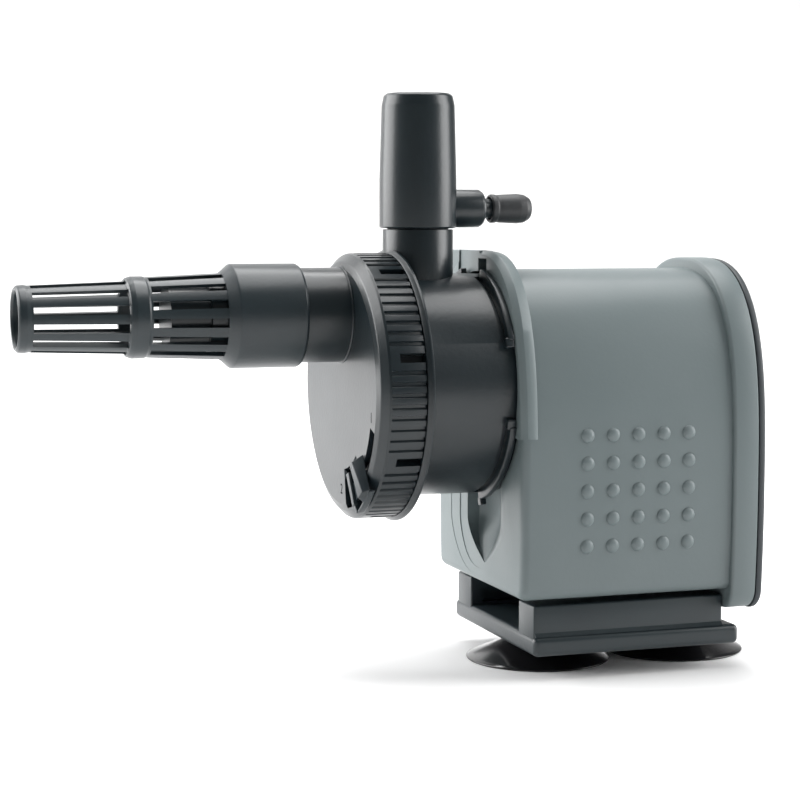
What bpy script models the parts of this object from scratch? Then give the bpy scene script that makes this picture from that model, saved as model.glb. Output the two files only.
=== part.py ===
"""Submersible aquarium circulation pump with a strainer, a flow regulator and an air-intake outlet.

Dimensions are millimetres and become metres when a mesh is made. +Z is up, the strainer points
to -X, and the pump's own axis runs along X at the height AXIS_Z. Lengths along the pump are
measured from the housing's front plane, heights from the pump's axis, so each piece is drawn
about its own axis and then placed.
"""
import math

import bmesh
import bpy
from mathutils import Matrix, Vector

MM = 0.001
GAP = 0.3

# Motor housing
HOUSING_LENGTH = 66.0
HOUSING_HALF = 35.7
HOUSING_TOP = 33.75
HOUSING_BOTTOM = -60.3
WIDEST_Z = -31.0
HOUSING_CORNER = 3.0
ARCH_TOP_POWER = 3.2
ARCH_SIDE_POWER = 2.55
SIDE_TUCK = 0.9
WALL = 2.6
FRONT_WALL_BACK = 6.0
SEAT_DEPTH = 3.0
SEAT_R = 33.0
COLLAR_FRONT = -0.8
COLLAR_BACK = 4.0
COLLAR_TOP = 39.5
COLLAR_HALF = 37.0
COLLAR_END_Z = -13.4
FLANGE_BACK = 74.0
FLANGE_HALF = 37.1
FLANGE_TOP = 37.0
FLANGE_BOTTOM = -66.4
FLANGE_CORNER = 6.5
WELL_R = 12.2
WELL_OUTER_R = 14.0
WELL_END = 46.6
SEAT_POCKET_R = 6.3
SEAT_POCKET_END = 52.2
WELL_CLOSED_END = 54.0
SCOOP_TIP_Z = -53.5
SCOOP_HALF = 13.0
SCOOP_RISE = 22.0
SCOOP_DEPTH = 0.6
DOT_PITCH = 8.0
DOT_R = 2.0
DOT_HEIGHT = 0.7
DOT_FIRST_X = 19.8
DOT_FIRST_Z = -13.0
DOT_ROWS = 5

# Rear closure
COVER_THICK = 2.6
RESIN_FRONT = 66.5
RESIN_BACK = 71.8
GLAND_Z = -48.0
GLAND_R = 5.0
GLAND_END = 82.4
GLAND_BORE_R = 2.8

# Magnetic circuit
CORE_FRONT = 14.0
CORE_BACK = 44.0
CORE_HALF = 25.0
CORE_TOP = 20.0
CORE_BOTTOM = -54.0
CORE_BORE_R = 14.5
LEG_INNER = 12.0
YOKE_TOP = -44.0
SHOE_BOTTOM = -17.0
POLE_GAP = 2.0
BOBBIN_WALL = 1.2
COIL_BUILD = 4.2

# Rotor
MAGNET_R = 11.0
MAGNET_FRONT = 6.2
MAGNET_BACK = 44.5
SHAFT_R = 2.0
SHAFT_FRONT = -39.0
SHAFT_BACK = 50.2
HUB_R = 5.5
HUB_BORE_R = 2.3
IMPELLER_FRONT = -24.5
IMPELLER_DISC_FRONT = -15.5
IMPELLER_DISC_BACK = -14.0
IMPELLER_R = 19.5
IMPELLER_BLADES = 6

# Pump chamber
CHAMBER_R = 32.6
CHAMBER_BORE_R = 30.1
CHAMBER_BACK = 2.6
CHAMBER_FLOOR = -4.0
CHAMBER_THROAT_R = 12.5
RIM_R = 39.8
RIM_FRONT = -30.1
RIM_BACK = -27.9
SPIGOT_R = 34.9
SPIGOT_FRONT = -40.0
OUTLET_X = -19.5
NECK_R = 10.35
NECK_TOP = 45.6
NECK_SPIGOT_R = 9.0
NECK_SPIGOT_TOP = 57.5
NECK_BORE_R = 7.4
LUG_R = 34.9
LUG_FRONT = -4.2
LUG_BACK = -1.2
LUG_ARCS = ((25.0, 77.0), (-16.0, -77.0))

# Front cap
CAP_FACE = -44.5
CAP_R = 37.8
CAP_FACE_THICK = 2.4
CAP_BORE_R = 35.5
KNURL_FRONT = -41.8
KNURL_BACK = -30.4
KNURL_R = 38.7
KNURL_ROOT_R = 37.9
KNURL_COUNT = 80
WINDOW_COUNT = 8
WINDOW_FIRST = 16.0
WINDOW_FRONT = -37.3
WINDOW_WIDTH = 2.5
WINDOW_PATCH_HALF = 4.0
BOSS_R = 6.8
BOSS_BACK = -36.0
INLET_Z = 20.9
INLET_PIPE_R = 13.7
INLET_BORE_R = 11.5
INLET_TIP = -75.8
INLET_SPIGOT_R = 10.0
INLET_SPIGOT_TIP = -83.5
SLOT_INNER_R = 28.5
SLOT_OUTER_R = 34.2
SLOT_ARC = (-14.0, -70.0)

# Flow regulator
SHUTTER_FRONT = -41.7
SHUTTER_BACK = -40.6
SHUTTER_INNER_R = 7.2
SHUTTER_OUTER_R = 33.6
SHUTTER_ARC = (-72.0, 50.0)
LEVER_ANGLE = -49.0
LEVER_HALF_ANGLE = 11.0
LEVER_FACE = -47.2
LEVER_R = 39.4

# Strainer
STRAINER_TIP = -137.4
TIER_ONE_TIP_R = 9.5
TIER_ONE_END = -107.0
TIER_ONE_END_R = 10.2
RING_BACK = -100.8
TIER_TWO_R = 11.6
TIER_TWO_END_R = 12.3
COLLAR_TIP = -79.4
STRAINER_COLLAR_R = 14.95
STRAINER_COLLAR_FRONT = -76.4
STRAINER_COLLAR_BACK = -56.6
STRAINER_WALL = 1.2

# Outlet coupler and its air intake
COUPLER_BOTTOM = 45.9
COUPLER_TOP = 85.0
COUPLER_R = 11.3
COUPLER_TOP_R = 10.65
COUPLER_BORE_R = 8.9
COUPLER_SOCKET_R = 9.3
COUPLER_STOP = 58.0
STUB_Z = 51.7
STUB_R = 5.6
STUB_END = 0.2
NIPPLE_R = 3.1
NIPPLE_END = 9.0
AIR_BORE_R = 1.3
AIR_CAP_FRONT = 2.8
AIR_CAP_END = 16.1
AIR_CAP_R = 4.4

# Base and suction cups
BASE_FRONT = 4.9
BASE_BACK = 70.5
BASE_HALF = 33.0
BASE_TOP = -71.2
BASE_BOTTOM = -77.0
RAIL_HALF = 31.3
RAIL_INNER = 19.7
RAIL_TOP = -62.3
RAIL_BACK = 65.6
GROOVE_DEPTH = 3.0
GROOVE_LOW = -70.3
GROOVE_HIGH = -66.4
GROOVE_FRONT = 9.0
FOOT_FRONT = 12.0
FOOT_BACK = 63.0
FOOT_INNER = 14.0
CUP_XS = {"suction_cup_front": 19.5, "suction_cup_rear": 64.6}
CUP_R = 21.8
CUP_RIM = 2.4
CUP_FLOOR = -84.3
CUP_STEM_R = 3.6
CUP_HOLE_R = 4.0

# Where the drawing's origin lies in the part's frame (the middle of the footprint, on the floor)
FRONT_X = -(STRAINER_TIP + CUP_XS["suction_cup_rear"] + CUP_R) / 2.0
AXIS_Z = -CUP_FLOOR

ROUND_STEPS = 40
SMALL_STEPS = 24


# ---------------------------------------------------------------- scene and materials

def clear_scene():
    for obj in list(bpy.data.objects):
        bpy.data.objects.remove(obj, do_unlink=True)


def make_collection(name):
    collection = bpy.data.collections.new(name)
    bpy.context.scene.collection.children.link(collection)
    return collection


def make_material(name, colour, roughness, metallic=0.0):
    material = bpy.data.materials.new(name)
    material.use_nodes = True
    shader = material.node_tree.nodes["Principled BSDF"]
    shader.inputs["Base Color"].default_value = (*colour, 1.0)
    shader.inputs["Roughness"].default_value = roughness
    shader.inputs["Metallic"].default_value = metallic
    material.diffuse_color = (*colour, 1.0)
    return material


clear_scene()
PARTS = make_collection("circulation_pump")
CUTTERS = make_collection("cutters")

MATERIALS = {
    "grey": ((0.19, 0.23, 0.23), 0.45, 0.0),
    "charcoal": ((0.030, 0.034, 0.038), 0.40, 0.0),
    "cover": ((0.055, 0.065, 0.070), 0.45, 0.0),
    "rubber": ((0.012, 0.012, 0.013), 0.30, 0.0),
    "steel": ((0.35, 0.35, 0.36), 0.40, 0.9),
    "copper": ((0.55, 0.24, 0.12), 0.35, 0.9),
    "ferrite": ((0.06, 0.06, 0.06), 0.60, 0.0),
    "ceramic": ((0.80, 0.79, 0.76), 0.25, 0.0),
    "resin": ((0.02, 0.02, 0.02), 0.50, 0.0),
    "nylon": ((0.70, 0.68, 0.60), 0.50, 0.0),
    "white": ((0.75, 0.75, 0.73), 0.40, 0.0),
}


# ---------------------------------------------------------------- placing and shaping tools

def place(x=0.0, y=0.0, z=0.0):
    """A point of the drawing, in the part's frame, in metres."""
    return Vector(((x + FRONT_X) * MM, y * MM, (z + AXIS_Z) * MM))


def add_object(name, mesh, origin, collection=PARTS):
    obj = bpy.data.objects.new(name, mesh)
    obj.location = place(*origin)
    collection.objects.link(obj)
    return obj


def as_cutter(obj):
    for owner in list(obj.users_collection):
        owner.objects.unlink(obj)
    CUTTERS.objects.link(obj)
    obj.hide_render = True
    obj.display_type = "WIRE"
    return obj


def signed_area(points):
    total = 0.0
    for (a, b), (c, d) in zip(points, points[1:] + points[:1]):
        total += a * d - c * b
    return total / 2.0


TURN_AXES = {
    "X": Matrix(((0, 0, 1), (0, 1, 0), (-1, 0, 0))).to_4x4(),
    "Z": Matrix.Identity(4),
}


def turned(name, profile, origin=(0, 0, 0), axis="X", steps=ROUND_STEPS, collection=PARTS):
    """A closed profile of (radius, height) pairs, turned about the axis through the origin."""
    points = list(profile)
    if signed_area(points) > 0:
        points.reverse()
    mesh = bpy.data.meshes.new(name)
    shape = bmesh.new()
    verts = [shape.verts.new((r * MM, 0, h * MM)) for r, h in points]
    for i, (radius, _) in enumerate(points):
        if radius > 0 or points[i - 1][0] > 0:
            shape.edges.new((verts[i - 1], verts[i]))
    shape.to_mesh(mesh)
    shape.free()
    obj = add_object(name, mesh, origin, collection)
    screw = obj.modifiers.new("turn", "SCREW")
    screw.axis = "Z"
    screw.steps = steps
    screw.render_steps = steps
    screw.use_merge_vertices = True
    screw.merge_threshold = 0.00001
    return turn_to(bake(obj), axis)


def turn_to(obj, axis):
    obj.data.transform(TURN_AXES[axis])
    obj.data.update()
    return obj


def bake(obj):
    """Replace an object's mesh by its evaluated shape, so later cuts see plain geometry."""
    bpy.context.view_layer.update()
    graph = bpy.context.evaluated_depsgraph_get()
    mesh = bpy.data.meshes.new_from_object(obj.evaluated_get(graph))
    obj.modifiers.clear()
    obj.data = mesh
    return obj


EXTRUDE_AXES = {
    "X": Matrix(((0, 0, 1), (1, 0, 0), (0, 1, 0))).to_4x4(),
    "Z": Matrix.Identity(4),
}


def extruded(name, outlines, low, high, origin=(0, 0, 0), axis="X", collection=PARTS):
    """Flat outlines, holes among them, filled and drawn out from low to high along an axis."""
    curve = bpy.data.curves.new(name, "CURVE")
    curve.dimensions = "2D"
    curve.fill_mode = "BOTH"
    curve.extrude = (high - low) / 2.0 * MM
    for outline in outlines:
        spline = curve.splines.new("POLY")
        spline.points.add(len(outline) - 1)
        spline.use_cyclic_u = True
        for point, (u, v) in zip(spline.points, outline):
            point.co = (u * MM, v * MM, 0.0, 1.0)
    guide = bpy.data.objects.new(name + "_outline", curve)
    CUTTERS.objects.link(guide)
    bpy.context.view_layer.update()
    graph = bpy.context.evaluated_depsgraph_get()
    mesh = bpy.data.meshes.new_from_object(guide.evaluated_get(graph))
    shape = bmesh.new()
    shape.from_mesh(mesh)
    bmesh.ops.remove_doubles(shape, verts=shape.verts, dist=0.000001)
    bmesh.ops.recalc_face_normals(shape, faces=shape.faces)
    shape.to_mesh(mesh)
    shape.free()
    bpy.data.objects.remove(guide, do_unlink=True)
    mesh.transform(Matrix.Translation((0, 0, (high + low) / 2.0 * MM)))
    mesh.transform(EXTRUDE_AXES[axis])
    return add_object(name, mesh, origin, collection)


def block(name, low, high, origin=(0, 0, 0), collection=PARTS):
    mesh = bpy.data.meshes.new(name)
    shape = bmesh.new()
    bmesh.ops.create_cube(shape, size=MM)
    size = [b - a for a, b in zip(low, high)]
    middle = [(a + b) / 2.0 * MM for a, b in zip(low, high)]
    bmesh.ops.scale(shape, vec=size, verts=shape.verts)
    bmesh.ops.translate(shape, vec=middle, verts=shape.verts)
    shape.to_mesh(mesh)
    shape.free()
    return add_object(name, mesh, origin, collection)


def is_closed(mesh):
    """Drop loose edges, then say whether every edge that is left joins two faces."""
    shape = bmesh.new()
    shape.from_mesh(mesh)
    loose = [edge for edge in shape.edges if not edge.link_faces]
    bmesh.ops.delete(shape, geom=loose, context="EDGES")
    bmesh.ops.dissolve_degenerate(shape, dist=0.000001, edges=shape.edges)
    closed = all(len(edge.link_faces) == 2 for edge in shape.edges)
    shape.to_mesh(mesh)
    shape.free()
    return closed


def boolean(obj, other, operation):
    """Cut or join by the exact solver, or by the manifold one where that leaves an open edge."""
    for solver in ("EXACT", "MANIFOLD"):
        modifier = obj.modifiers.new(operation.lower(), "BOOLEAN")
        modifier.solver = solver
        modifier.operation = operation
        modifier.object = other
        bpy.context.view_layer.update()
        graph = bpy.context.evaluated_depsgraph_get()
        mesh = bpy.data.meshes.new_from_object(obj.evaluated_get(graph))
        obj.modifiers.clear()
        if is_closed(mesh):
            break
    obj.data = mesh
    tool_mesh = other.data
    bpy.data.objects.remove(other, do_unlink=True)
    bpy.data.meshes.remove(tool_mesh)
    return obj


def cut(obj, *tools):
    for tool in tools:
        boolean(obj, as_cutter(tool), "DIFFERENCE")
    return obj


def join(obj, *pieces):
    for piece in pieces:
        boolean(obj, as_cutter(piece), "UNION")
    return obj


def bevelled(obj, width, segments=2, angle=50.0):
    modifier = obj.modifiers.new("bevel", "BEVEL")
    modifier.width = width * MM
    modifier.segments = segments
    modifier.limit_method = "ANGLE"
    modifier.angle_limit = math.radians(angle)
    return bake(obj)


def finish(obj, material, smooth=True):
    colour, roughness, metallic = MATERIALS[material]
    obj.data.materials.clear()
    obj.data.materials.append(make_material(obj.name, colour, roughness, metallic))
    if smooth:
        obj.data.shade_smooth()
        obj.data.set_sharp_from_angle(angle=math.radians(35.0))
    return obj


# ---------------------------------------------------------------- outlines

def arch(half, top, bottom, corner, inset=0.0, steps=9):
    """The housing's outline across the pump: a broad arch over sides that tuck in a little below."""
    half -= inset
    bottom += inset
    corner = max(corner - inset, 0.8)
    rise = top - inset - WIDEST_Z
    drop = WIDEST_Z - (bottom + corner)
    side = []
    for i in range(steps + 1):
        swing = math.radians(90.0 * i / steps)
        y = half * math.sin(swing) ** (2 / ARCH_SIDE_POWER)
        side.append((y, WIDEST_Z + rise * math.cos(swing) ** (2 / ARCH_TOP_POWER)))
    for share in (0.5, 1.0):
        side.append((half - SIDE_TUCK * share ** 2, WIDEST_Z - drop * share))
    centre = half - SIDE_TUCK - corner
    for i in range(1, 4):
        swing = math.radians(30.0 * i)
        side.append((centre + corner * math.cos(swing), bottom + corner - corner * math.sin(swing)))
    return side + [(-y, z) for y, z in reversed(side[1:])]


def ring_arc(inner, outer, start, end, steps=9):
    """An arc band about the axis; 0 degrees is the near side (-Y) and 90 is up."""
    angles = [math.radians(start + (end - start) * i / steps) for i in range(steps + 1)]
    near = [(-outer * math.cos(a), outer * math.sin(a)) for a in angles]
    return near + [(-inner * math.cos(a), inner * math.sin(a)) for a in reversed(angles)]


def circle(radius, count=SMALL_STEPS):
    angles = [2 * math.pi * i / count for i in range(count)]
    return [(radius * math.cos(a), radius * math.sin(a)) for a in angles]


def rectangle(u0, u1, v0, v1):
    return [(u0, v0), (u1, v0), (u1, v1), (u0, v1)]


# ---------------------------------------------------------------- motor

def housing_arch(inset=0.0):
    return arch(HOUSING_HALF, HOUSING_TOP, HOUSING_BOTTOM, HOUSING_CORNER, inset)


def flange_arch(inset=0.0):
    return arch(FLANGE_HALF, FLANGE_TOP, FLANGE_BOTTOM, FLANGE_CORNER, inset)


def collar_outline():
    """The raised band around the top of the housing's front, flat on top."""
    around = arch(COLLAR_HALF, COLLAR_TOP, HOUSING_BOTTOM, HOUSING_CORNER)
    outline = [(y, z) for y, z in around if z > COLLAR_END_Z]
    ends = [(COLLAR_HALF - 0.4, COLLAR_END_Z), (-COLLAR_HALF + 0.4, COLLAR_END_Z)]
    right = [p for p in outline if p[0] >= 0]
    left = [p for p in outline if p[0] < 0]
    return right + ends + left


def scoop_cutter():
    """A pointed hollow under the pump chamber, deepest where it meets the chamber."""
    side = []
    steps = 6
    for i in range(steps + 1):
        share = i / steps
        side.append((SCOOP_HALF * math.sin(share * math.pi / 2), SCOOP_TIP_Z + SCOOP_RISE * share))
    outline = side + [(-y, z) for y, z in reversed(side[1:])]
    return extruded("scoop", [outline], -5.0, SCOOP_DEPTH)


def make_motor_housing():
    body = bevelled(extruded("motor_housing", [housing_arch()], 0.0, HOUSING_LENGTH + 2.0), 2.4, 3)
    flange = bevelled(extruded("flange", [flange_arch()], HOUSING_LENGTH, FLANGE_BACK), 0.8, 1)
    collar = extruded("collar", [collar_outline()], COLLAR_FRONT, COLLAR_BACK)
    join(body, flange, collar)
    well = turned("well", [(0, FRONT_WALL_BACK - 2.0), (WELL_OUTER_R, FRONT_WALL_BACK - 2.0),
                           (WELL_OUTER_R, WELL_CLOSED_END), (0, WELL_CLOSED_END)])
    cut(body, extruded("cavity", [housing_arch(WALL)], FRONT_WALL_BACK, FLANGE_BACK + 5.0))
    join(body, well)
    cut(body, turned("seat", [(0, -10), (SEAT_R, -10), (SEAT_R, SEAT_DEPTH), (WELL_R, SEAT_DEPTH),
                              (WELL_R, WELL_END), (SEAT_POCKET_R, WELL_END),
                              (SEAT_POCKET_R, SEAT_POCKET_END), (0, SEAT_POCKET_END)]))
    cut(body, scoop_cutter())
    outer = flange_arch(1.3)
    inner = flange_arch(3.2)
    cut(body, extruded("gasket_groove", [outer, inner], FLANGE_BACK - 1.3, FLANGE_BACK + 5.0))
    for side in (-1, 1):
        join(body, extruded("foot", [foot_outline(side)], FOOT_FRONT, FOOT_BACK))
    join(body, side_dots(-1), side_dots(1))
    return finish(body, "grey")


def foot_outline(side):
    """An L-shaped runner under the housing, hooked outward into the base's groove."""
    web_in = side * FOOT_INNER
    web_out = side * (RAIL_INNER - GAP)
    hook = side * (RAIL_INNER + GROOVE_DEPTH - GAP)
    low = GROOVE_LOW + GAP
    high = GROOVE_HIGH - GAP
    top = HOUSING_BOTTOM + 1.0
    return [(web_in, top), (web_in, low), (hook, low), (hook, high), (web_out, high), (web_out, top)]


def side_dots(side):
    """Low round grip dots on a flank, in rows and columns."""
    dots = []
    for row in range(DOT_ROWS):
        for column in range(DOT_ROWS):
            x = DOT_FIRST_X + DOT_PITCH * column
            z = DOT_FIRST_Z - DOT_PITCH * row
            dots.append(dot(side, x, z))
    return join_meshes(dots)


def flank_half(z):
    """The housing's half-width at a height."""
    if z >= WIDEST_Z:
        share = (z - WIDEST_Z) / (HOUSING_TOP - WIDEST_Z)
        return HOUSING_HALF * (1 - share ** ARCH_TOP_POWER) ** (1 / ARCH_SIDE_POWER)
    share = (WIDEST_Z - z) / (WIDEST_Z - HOUSING_BOTTOM - HOUSING_CORNER)
    return HOUSING_HALF - SIDE_TUCK * share ** 2


def dot(side, x, z):
    mesh = bpy.data.meshes.new("dot")
    shape = bmesh.new()
    bmesh.ops.create_cone(shape, cap_ends=True, segments=6, radius1=DOT_R * MM,
                          radius2=DOT_R * 0.55 * MM, depth=2 * DOT_HEIGHT * MM)
    shape.transform(Matrix.Rotation(math.radians(90.0 * -side), 4, "X"))
    bmesh.ops.translate(shape, vec=(x * MM, side * flank_half(z) * MM, z * MM), verts=shape.verts)
    shape.to_mesh(mesh)
    shape.free()
    return add_object("dot", mesh, (0, 0, 0), CUTTERS)


def join_meshes(pieces):
    """Gather pieces that do not touch into one object, ready for a union."""
    shape = bmesh.new()
    for piece in pieces:
        shape.from_mesh(piece.data)
    mesh = bpy.data.meshes.new(pieces[0].name)
    shape.to_mesh(mesh)
    shape.free()
    for piece in pieces:
        bpy.data.objects.remove(piece, do_unlink=True)
    return add_object("dots", mesh, (0, 0, 0), CUTTERS)


def make_rear_cover():
    low = FLANGE_BACK + GAP
    outline = arch(FLANGE_HALF - 0.3, FLANGE_TOP - 0.2, FLANGE_BOTTOM - 0.4, FLANGE_CORNER)
    cover = bevelled(extruded("rear_cover", [outline], low, low + COVER_THICK - GAP), 1.1, 2)
    hole = turned("hole", [(0, 60), (GLAND_R + GAP, 60), (GLAND_R + GAP, 90), (0, 90)],
                  (0, 0, GLAND_Z), steps=SMALL_STEPS)
    return finish(cut(cover, hole), "cover")


def make_rear_gasket():
    outlines = [flange_arch(1.3 + GAP), flange_arch(3.2 - GAP)]
    gasket = extruded("rear_gasket", outlines, FLANGE_BACK - 1.0, FLANGE_BACK)
    return finish(gasket, "rubber", smooth=False)


def make_potting_resin():
    resin = extruded("potting_resin", [housing_arch(WALL + GAP)], RESIN_FRONT, RESIN_BACK)
    hole = turned("hole", [(0, 60), (GLAND_R + 1.2 + GAP, 60), (GLAND_R + 1.2 + GAP, 90), (0, 90)],
                  (0, 0, GLAND_Z), steps=SMALL_STEPS)
    return finish(cut(resin, hole), "resin", smooth=False)


def make_cord_gland():
    back = FLANGE_BACK + GAP + COVER_THICK
    profile = [(GLAND_BORE_R, 67.0), (GLAND_R + 1.2, 67.0), (GLAND_R + 1.2, FLANGE_BACK),
               (GLAND_R, FLANGE_BACK), (GLAND_R, back), (GLAND_R + 1.0, back + GAP),
               (GLAND_R + 1.0, back + 1.6), (GLAND_R - 0.8, GLAND_END), (GLAND_BORE_R, GLAND_END)]
    return finish(turned("cord_gland", profile, (0, 0, GLAND_Z), steps=SMALL_STEPS), "rubber")


def make_stator_core():
    half = CORE_HALF
    outline = [(half, CORE_BOTTOM), (half, CORE_TOP - 6.0), (half - 6.0, CORE_TOP),
               (-half + 6.0, CORE_TOP), (-half, CORE_TOP - 6.0), (-half, CORE_BOTTOM)]
    core = extruded("stator_core", [outline], CORE_FRONT, CORE_BACK)
    window = rectangle(-LEG_INNER, LEG_INNER, YOKE_TOP, SHOE_BOTTOM)
    gap = rectangle(-POLE_GAP, POLE_GAP, SHOE_BOTTOM - 1.0, -5.0)
    cut(core, extruded("bore", [circle(CORE_BORE_R, 40)], 0, 60))
    cut(core, extruded("window", [window], 0, 60), extruded("pole_gap", [gap], 0, 60))
    return finish(core, "steel", smooth=False)


def leg_frame(grow):
    """The rectangle around a leg's cross-section, in the drawing's X and Y, grown outward."""
    return (CORE_FRONT - grow, CORE_BACK + grow, LEG_INNER - grow, CORE_HALF + grow)


def framed(name, outer, inner, low, high):
    """An upright rectangular tube around one leg; each outline is (x0, x1, y0, y1)."""
    outlines = [rectangle(*outer), rectangle(*inner)]
    return extruded(name, outlines, low, high, axis="Z")


def mirror_y(bounds, side):
    x0, x1, y0, y1 = bounds
    return (x0, x1, y0, y1) if side > 0 else (x0, x1, -y1, -y0)


def make_bobbin_and_coil(side, word):
    low = YOKE_TOP + GAP
    high = SHOE_BOTTOM - GAP
    hole = mirror_y(leg_frame(GAP), side)
    wall = mirror_y(leg_frame(GAP + BOBBIN_WALL), side)
    lip = mirror_y(leg_frame(GAP + BOBBIN_WALL + COIL_BUILD), side)
    bobbin = framed("bobbin_" + word, wall, hole, low, high)
    for z0 in (low, high - BOBBIN_WALL):
        join(bobbin, framed("lip", lip, hole, z0, z0 + BOBBIN_WALL))
    finish(bobbin, "nylon", smooth=False)
    inner = mirror_y(leg_frame(2 * GAP + BOBBIN_WALL), side)
    coil = framed("coil_" + word, lip, inner, low + BOBBIN_WALL + GAP, high - BOBBIN_WALL - GAP)
    finish(coil, "copper", smooth=False)


# ---------------------------------------------------------------- rotor

def make_rotor_magnet():
    profile = [(HUB_BORE_R, MAGNET_FRONT), (MAGNET_R - 0.6, MAGNET_FRONT),
               (MAGNET_R, MAGNET_FRONT + 0.6), (MAGNET_R, MAGNET_BACK - 0.6),
               (MAGNET_R - 0.6, MAGNET_BACK), (HUB_BORE_R, MAGNET_BACK)]
    return finish(turned("rotor_magnet", profile, steps=30), "ferrite")


def blade_outline(turn):
    """A thin blade that sweeps back as it runs outward, as seen along the axis."""
    steps = 4
    thick = 1.4
    line = []
    for i in range(steps + 1):
        share = i / steps
        radius = 3.5 + (IMPELLER_R - 0.3 - 3.5) * share
        angle = turn + math.radians(40.0) * share
        line.append((radius * math.cos(angle), radius * math.sin(angle), angle + math.radians(90)))
    left = [(y + thick / 2 * math.cos(n), z + thick / 2 * math.sin(n)) for y, z, n in line]
    right = [(y - thick / 2 * math.cos(n), z - thick / 2 * math.sin(n)) for y, z, n in line]
    return left + right[::-1]


def make_impeller():
    profile = [(HUB_BORE_R, IMPELLER_FRONT - 1.0), (HUB_R, IMPELLER_FRONT - 1.0),
               (HUB_R, IMPELLER_DISC_FRONT), (IMPELLER_R, IMPELLER_DISC_FRONT),
               (IMPELLER_R, IMPELLER_DISC_BACK), (HUB_R + 1.5, IMPELLER_DISC_BACK),
               (HUB_R + 1.5, MAGNET_FRONT - GAP), (HUB_BORE_R, MAGNET_FRONT - GAP)]
    impeller = turned("impeller", profile, steps=30)
    for i in range(IMPELLER_BLADES):
        turn = 2 * math.pi * i / IMPELLER_BLADES
        join(impeller, extruded("blade", [blade_outline(turn)], IMPELLER_FRONT, IMPELLER_DISC_FRONT + 0.5))
    cut(impeller, turned("bore", [(0, -60), (HUB_BORE_R, -60), (HUB_BORE_R, 60), (0, 60)], steps=30))
    return finish(impeller, "white")


def make_rotor_shaft():
    profile = [(0, SHAFT_FRONT), (SHAFT_R - 0.4, SHAFT_FRONT), (SHAFT_R, SHAFT_FRONT + 0.4),
               (SHAFT_R, SHAFT_BACK - 0.4), (SHAFT_R - 0.4, SHAFT_BACK), (0, SHAFT_BACK)]
    return finish(turned("rotor_shaft", profile, steps=24), "ceramic")


def make_shaft_seats():
    bore = SHAFT_R + GAP
    rear = SEAT_POCKET_R - GAP
    profile = [(bore, WELL_END + GAP), (rear, WELL_END + GAP), (rear, SEAT_POCKET_END - GAP),
               (0, SEAT_POCKET_END - GAP), (0, SHAFT_BACK + GAP), (bore, SHAFT_BACK + GAP)]
    finish(turned("rear_shaft_seat", profile, steps=24), "rubber")
    front = BOSS_R - 1.5 - GAP
    deep = CAP_FACE + CAP_FACE_THICK + 1.0
    profile = [(bore, BOSS_BACK), (bore, SHAFT_FRONT - GAP), (0, SHAFT_FRONT - GAP),
               (0, deep + GAP), (front, deep + GAP), (front, BOSS_BACK)]
    finish(turned("front_shaft_seat", profile, steps=24), "rubber")


# ---------------------------------------------------------------- pump chamber

def make_pump_chamber():
    profile = [
        (CHAMBER_THROAT_R, CHAMBER_FLOOR), (CHAMBER_BORE_R, CHAMBER_FLOOR),
        (CHAMBER_BORE_R, SPIGOT_FRONT), (SPIGOT_R, SPIGOT_FRONT), (SPIGOT_R, RIM_FRONT - 6.4),
        (SPIGOT_R - 1.7, RIM_FRONT - 6.4), (SPIGOT_R - 1.7, RIM_FRONT - 3.8),
        (SPIGOT_R, RIM_FRONT - 3.8), (SPIGOT_R, RIM_FRONT), (RIM_R, RIM_FRONT),
        (RIM_R, RIM_BACK - 0.5), (RIM_R - 0.5, RIM_BACK),
        (CHAMBER_R, RIM_BACK), (CHAMBER_R, CHAMBER_BACK), (24.6, CHAMBER_BACK),
        (24.6, CHAMBER_BACK - 1.9), (21.8, CHAMBER_BACK - 1.9), (21.8, CHAMBER_BACK),
        (CHAMBER_THROAT_R, CHAMBER_BACK),
    ]
    chamber = turned("pump_chamber", profile)
    for start, end in LUG_ARCS:
        for flip in (1, -1):
            outline = ring_arc(CHAMBER_R - 0.8, LUG_R, start, end)
            outline = [(flip * y, z) for y, z in outline]
            join(chamber, extruded("lug", [outline], LUG_FRONT, LUG_BACK))
    neck = turned("neck", [(0, 24), (NECK_R, 24), (NECK_R, NECK_TOP), (NECK_SPIGOT_R, NECK_TOP),
                           (NECK_SPIGOT_R, NECK_SPIGOT_TOP), (0, NECK_SPIGOT_TOP)],
                  (OUTLET_X, 0, 0), "Z", 32)
    join(chamber, neck)
    cut(chamber, turned("inside", [(0, -50), (CHAMBER_BORE_R, -50), (CHAMBER_BORE_R, CHAMBER_FLOOR),
                                   (0, CHAMBER_FLOOR)]))
    cut(chamber, turned("outlet", [(0, 20), (NECK_BORE_R, 20), (NECK_BORE_R, 70), (0, 70)],
                        (OUTLET_X, 0, 0), "Z", SMALL_STEPS))
    cut(chamber, turned("air_port", [(0, 5), (AIR_BORE_R, 5), (AIR_BORE_R, 14), (0, 14)],
                        (OUTLET_X, 0, STUB_Z), "X", 12))
    return finish(chamber, "charcoal")


def o_ring(name, radius, thick, x):
    profile = [(radius + thick * math.cos(a), x + thick * math.sin(a))
               for a in (2 * math.pi * i / 6 for i in range(6))]
    return finish(turned(name, profile, steps=30), "rubber")


# ---------------------------------------------------------------- front cap and regulator

def knurl_outline():
    """The grip band's outline: ribs all round, filled level where a window is cut."""
    outline = []
    pitch = 360.0 / KNURL_COUNT
    for i in range(KNURL_COUNT):
        for share, radius in ((0.0, KNURL_ROOT_R), (0.5, KNURL_R)):
            angle = WINDOW_FIRST + pitch * (i + share)
            if near_window(angle):
                radius = KNURL_R
            swing = math.radians(angle)
            outline.append((-radius * math.cos(swing), radius * math.sin(swing)))
    return outline


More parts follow.
